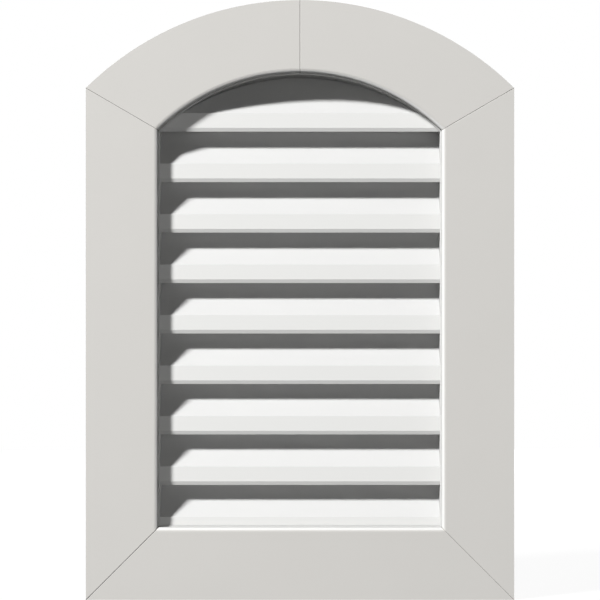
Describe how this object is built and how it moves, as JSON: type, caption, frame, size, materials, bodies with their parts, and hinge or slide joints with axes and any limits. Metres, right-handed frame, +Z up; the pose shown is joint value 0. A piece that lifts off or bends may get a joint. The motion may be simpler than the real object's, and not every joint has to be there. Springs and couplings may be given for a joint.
{
  "type": "gable vent",
  "caption": "Arch-top gable vent with a flat mitred trim, fixed inclined louver slats, a liner box that goes into the wall and an insect screen behind.",
  "frame": {"origin": "on the wall's face, at the middle of the trim's bottom edge", "axes": "+X to the right seen from outside, +Y into the wall, +Z up; the front faces -Y"},
  "size_m": [0.526, 0.0872, 0.7366],
  "materials": {
    "trim_pvc": "satin",
    "louver_pvc": "satin",
    "liner_pvc": "satin",
    "screen_mesh": "matte"
  },
  "bodies": {
    "root": {"trim_left_jamb": "trim_pvc", "trim_right_jamb": "trim_pvc", "trim_sill": "trim_pvc", "trim_arch_left": "trim_pvc", "trim_arch_right": "trim_pvc", "liner_left": "liner_pvc", "liner_right": "liner_pvc", "liner_sill": "liner_pvc", "liner_arch": "liner_pvc", "louver_slat_1": "louver_pvc", "louver_slat_2": "louver_pvc", "louver_slat_3": "louver_pvc", "louver_slat_4": "louver_pvc", "louver_slat_5": "louver_pvc", "louver_slat_6": "louver_pvc", "louver_slat_7": "louver_pvc", "louver_slat_8": "louver_pvc", "louver_slat_9": "louver_pvc", "insect_screen": "screen_mesh"}
  },
  "joints": []
}
